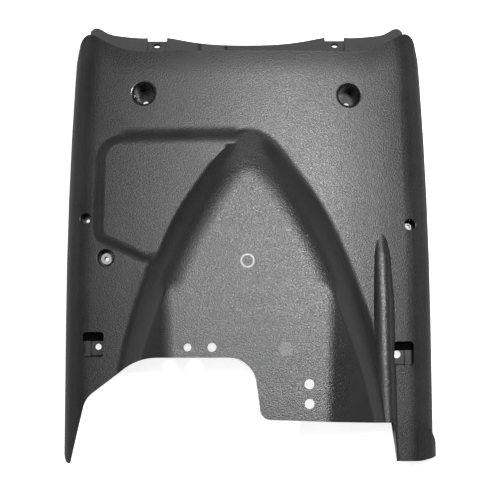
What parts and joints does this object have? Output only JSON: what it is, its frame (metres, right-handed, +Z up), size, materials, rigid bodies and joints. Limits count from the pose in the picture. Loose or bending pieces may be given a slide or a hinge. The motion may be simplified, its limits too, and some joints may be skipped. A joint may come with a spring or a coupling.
{
  "type": "scooter spoiler",
  "caption": "Moulded underside panel of a scooter: crowned skin with side flanges, raised vault, plateau, flute, folded front lip with screw tabs, screw cups and clip pockets.",
  "frame": {"origin": "bottom centre of the bounding box, on the plane of the side flanges' rims", "axes": "+X to the panel's right, +Y to its front edge, +Z up from the rims to the show face"},
  "size_m": [0.3338, 0.393, 0.0708],
  "materials": {
    "panel_plastic": "fine spark-eroded grain, satin"
  },
  "bodies": {
    "root": {"spoiler_panel": "panel_plastic"}
  },
  "joints": []
}
